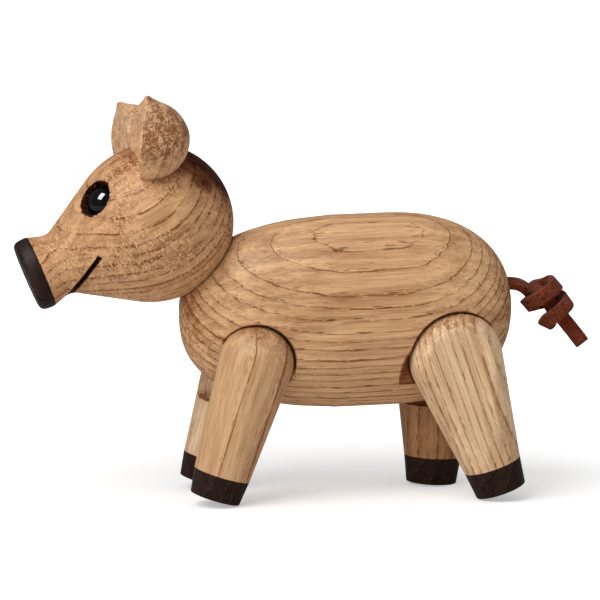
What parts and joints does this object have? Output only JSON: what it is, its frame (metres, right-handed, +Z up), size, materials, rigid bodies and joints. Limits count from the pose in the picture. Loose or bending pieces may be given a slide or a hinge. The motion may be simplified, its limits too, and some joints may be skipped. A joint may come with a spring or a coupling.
{
  "type": "wooden pig figurine",
  "caption": "Turned oak pig with a turning head, swinging legs, dark smoked hooves and snout, glass eyes and a knotted leather lace tail.",
  "frame": {"origin": "under the middle of the figurine without its tail, at the height that it stands on", "axes": "-X the way the pig looks, -Y its left side, +Z up"},
  "size_m": [0.145, 0.0454, 0.1023],
  "materials": {
    "oak": "satin",
    "head_oak": "satin",
    "leg_oak": "satin",
    "ear_oak": "satin",
    "smoked_oak": "satin",
    "beech": "matte",
    "eye_glass": "polished",
    "rubber_cord": "matte",
    "ferrule_brass": "satin",
    "pin_steel": "satin",
    "suede": "matte"
  },
  "bodies": {
    "body": {"body": "oak", "neck_pin": "pin_steel", "neck_elastic": "rubber_cord", "neck_ferrule": "ferrule_brass", "front_elastic": "rubber_cord", "front_left_ferrule": "ferrule_brass", "front_right_ferrule": "ferrule_brass", "rear_elastic": "rubber_cord", "rear_left_ferrule": "ferrule_brass", "rear_right_ferrule": "ferrule_brass", "tail_lace": "suede", "tail_knot": "suede", "tail_end": "suede"},
    "head": {"head": "head_oak", "snout_cap": "smoked_oak", "snout_dowel": "beech", "neck_peg": "beech", "eye_left": "eye_glass", "ear_left": "ear_oak", "ear_left_dowel": "beech", "eye_right": "eye_glass", "ear_right": "ear_oak", "ear_right_dowel": "beech"},
    "front_left": {"front_left_leg": "leg_oak", "front_left_hoof": "smoked_oak", "front_left_hoof_dowel": "beech", "front_left_peg": "beech"},
    "front_right": {"front_right_leg": "leg_oak", "front_right_hoof": "smoked_oak", "front_right_hoof_dowel": "beech", "front_right_peg": "beech"},
    "rear_left": {"rear_left_leg": "leg_oak", "rear_left_hoof": "smoked_oak", "rear_left_hoof_dowel": "beech", "rear_left_peg": "beech"},
    "rear_right": {"rear_right_leg": "leg_oak", "rear_right_hoof": "smoked_oak", "rear_right_hoof_dowel": "beech", "rear_right_peg": "beech"}
  },
  "joints": [
    {"name": "head_turn", "type": "hinge", "parent": "body", "child": "head", "pos_m": [-0.02831, -0.00047, 0.06954], "axis": [-0.7737, 0, 0.6336], "range_deg": [-92, 88]},
    {"name": "front_left_swing", "type": "hinge", "parent": "body", "child": "front_left", "pos_m": [-0.00446, -0.01327, 0.03563], "axis": [0, 1, 0], "range_deg": [-22, 18]},
    {"name": "front_right_swing", "type": "hinge", "parent": "body", "child": "front_right", "pos_m": [-0.00446, 0.01233, 0.03563], "axis": [0, 1, 0], "range_deg": [-22, 18]},
    {"name": "rear_left_swing", "type": "hinge", "parent": "body", "child": "rear_left", "pos_m": [0.04575, -0.01327, 0.03577], "axis": [0, 1, 0], "range_deg": [-32.8, 34.2]},
    {"name": "rear_right_swing", "type": "hinge", "parent": "body", "child": "rear_right", "pos_m": [0.04575, 0.01233, 0.03577], "axis": [0, 1, 0], "range_deg": [-55, 12]}
  ]
}
